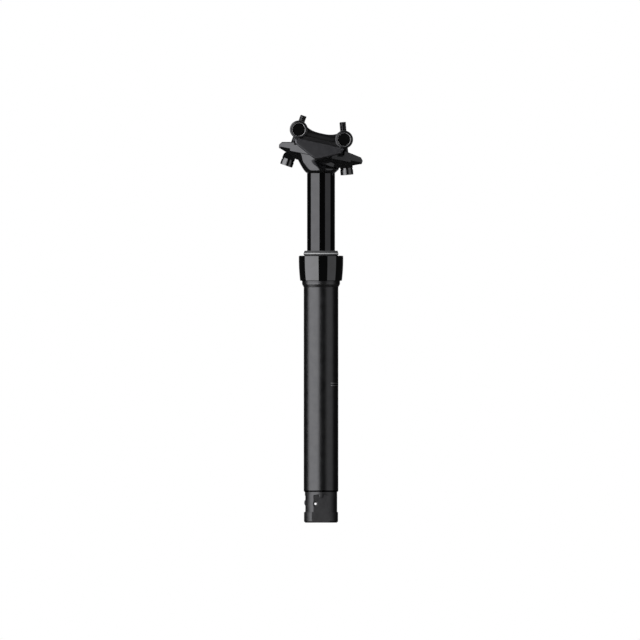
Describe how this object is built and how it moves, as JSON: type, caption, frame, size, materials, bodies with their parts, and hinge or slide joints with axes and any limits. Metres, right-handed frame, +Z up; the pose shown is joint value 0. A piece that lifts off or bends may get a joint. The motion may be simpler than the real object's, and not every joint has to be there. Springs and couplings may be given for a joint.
{
  "type": "dropper seatpost",
  "caption": "Telescopic bicycle seatpost with a two-bolt saddle clamp, sealed collar, inner gas cartridge and a cable-worked release at its foot.",
  "frame": {"origin": "on the tubes' axis, at the top of the lower tube's straight clamping length", "axes": "+Z up along the tubes, +X towards the front of the bicycle, +Y to its left; the post is fully extended"},
  "size_m": [0.0658, 0.0544, 0.3202],
  "materials": {
    "satin_black_anodised": "satin black anodised",
    "gloss_black_anodised": "polished black anodised",
    "forged_black_anodised": "bead-blasted black anodised",
    "wiper_rubber": "moulded black rubber",
    "pale_ring": "moulded light grey",
    "black_steel": "black oxide",
    "plain_steel": "turned",
    "bearing_plastic": "moulded dark bearing plastic",
    "key_brass": "milled",
    "plain_aluminium": "turned",
    "rod_chrome": "hard chromed",
    "seal_rubber": "moulded"
  },
  "bodies": {
    "lower": {"outer_tube": "satin_black_anodised", "seal_collar": "gloss_black_anodised", "wiper_seal": "wiper_rubber", "wiper_ring": "pale_ring", "upper_bushing": "bearing_plastic", "actuator_housing": "satin_black_anodised", "rod_nut": "plain_steel", "lever_pivot_pin": "black_steel", "cable_stop": "plain_aluminium", "cartridge_rod": "rod_chrome", "piston": "plain_aluminium", "piston_seal": "seal_rubber", "return_spring": "plain_steel"},
    "upper": {"stanchion": "gloss_black_anodised", "guide_keys": "key_brass", "lower_bushing": "bearing_plastic", "bushing_clip": "plain_steel", "cartridge_tube": "plain_aluminium", "cartridge_cap": "plain_aluminium", "cap_seal": "seal_rubber", "cartridge_gland": "plain_aluminium", "rod_seal": "seal_rubber", "top_out_bumper": "seal_rubber", "cartridge_clip": "plain_steel", "post_head": "forged_black_anodised"},
    "gas_piston": {"floating_piston": "plain_aluminium"},
    "saddle_clamp": {"lower_cradle": "forged_black_anodised", "upper_clamp": "forged_black_anodised"},
    "rear_bolt_set": {"rear_bolt": "black_steel", "rear_washer": "black_steel"},
    "front_bolt_set": {"front_bolt": "black_steel", "front_washer": "black_steel"},
    "rear_nut": {"rear_barrel_nut": "black_steel"},
    "front_nut": {"front_barrel_nut": "black_steel"},
    "release_lever": {"actuator_lever": "forged_black_anodised"},
    "anchor": {"cable_anchor": "black_steel", "anchor_screw": "black_steel"},
    "release_pin": {"push_pin": "plain_steel"}
  },
  "joints": [
    {"name": "post_travel", "type": "slide", "parent": "lower", "child": "upper", "axis": [0, 0, 1], "range_m": [-0.06, 0], "stiffness_N_per_m": 500, "springref_m": 0.4},
    {"name": "gas_piston_slide", "type": "slide", "parent": "upper", "child": "gas_piston", "axis": [0, 0, 1], "range_m": [0, 0.014]},
    {"name": "saddle_tilt", "type": "hinge", "parent": "upper", "child": "saddle_clamp", "pos_m": [0.0003, 0, 0.1199], "axis": [0, 1, 0], "range_deg": [-7, 6]},
    {"name": "rear_bolt_swing", "type": "hinge", "parent": "upper", "child": "rear_bolt_set", "pos_m": [-0.02517, 0, 0.10185], "axis": [0, 1, 0], "range_deg": [-1, 1]},
    {"name": "front_bolt_swing", "type": "hinge", "parent": "upper", "child": "front_bolt_set", "pos_m": [0.01983, 0, 0.09493], "axis": [0, 1, 0], "range_deg": [-2, 2]},
    {"name": "rear_nut_turn", "type": "hinge", "parent": "saddle_clamp", "child": "rear_nut", "pos_m": [-0.01747, 0, 0.12384], "axis": [0, 1, 0], "range_deg": [-8, 8]},
    {"name": "front_nut_turn", "type": "hinge", "parent": "saddle_clamp", "child": "front_nut", "pos_m": [0.01807, 0, 0.11596], "axis": [0, 1, 0], "range_deg": [-9, 9]},
    {"name": "lever_pivot", "type": "hinge", "parent": "lower", "child": "release_lever", "pos_m": [-0.00435, 0, -0.17], "axis": [0, -1, 0], "range_deg": [0, 25.1]},
    {"name": "anchor_turn", "type": "hinge", "parent": "release_lever", "child": "anchor", "pos_m": [-0.0096, 0, -0.1691], "axis": [0, -1, 0], "range_deg": [-26, 0]},
    {"name": "pin_slide", "type": "slide", "parent": "lower", "child": "release_pin", "axis": [0, 0, 1], "range_m": [0, 0.00192], "stiffness_N_per_m": 400, "springref_m": -0.001, "deforming": ["return_spring"]}
  ],
  "couplings": [
    {"joint": "gas_piston_slide", "follows": "post_travel", "ratio": -0.232},
    {"joint": "rear_bolt_swing", "follows": "saddle_tilt", "ratio": -0.1},
    {"joint": "front_bolt_swing", "follows": "saddle_tilt", "ratio": -0.25},
    {"joint": "rear_nut_turn", "follows": "saddle_tilt", "ratio": -1.1},
    {"joint": "front_nut_turn", "follows": "saddle_tilt", "ratio": -1.25},
    {"joint": "lever_pivot", "follows": "pin_slide", "rad_per_m": 227.27},
    {"joint": "anchor_turn", "follows": "pin_slide", "rad_per_m": -227.27}
  ]
}
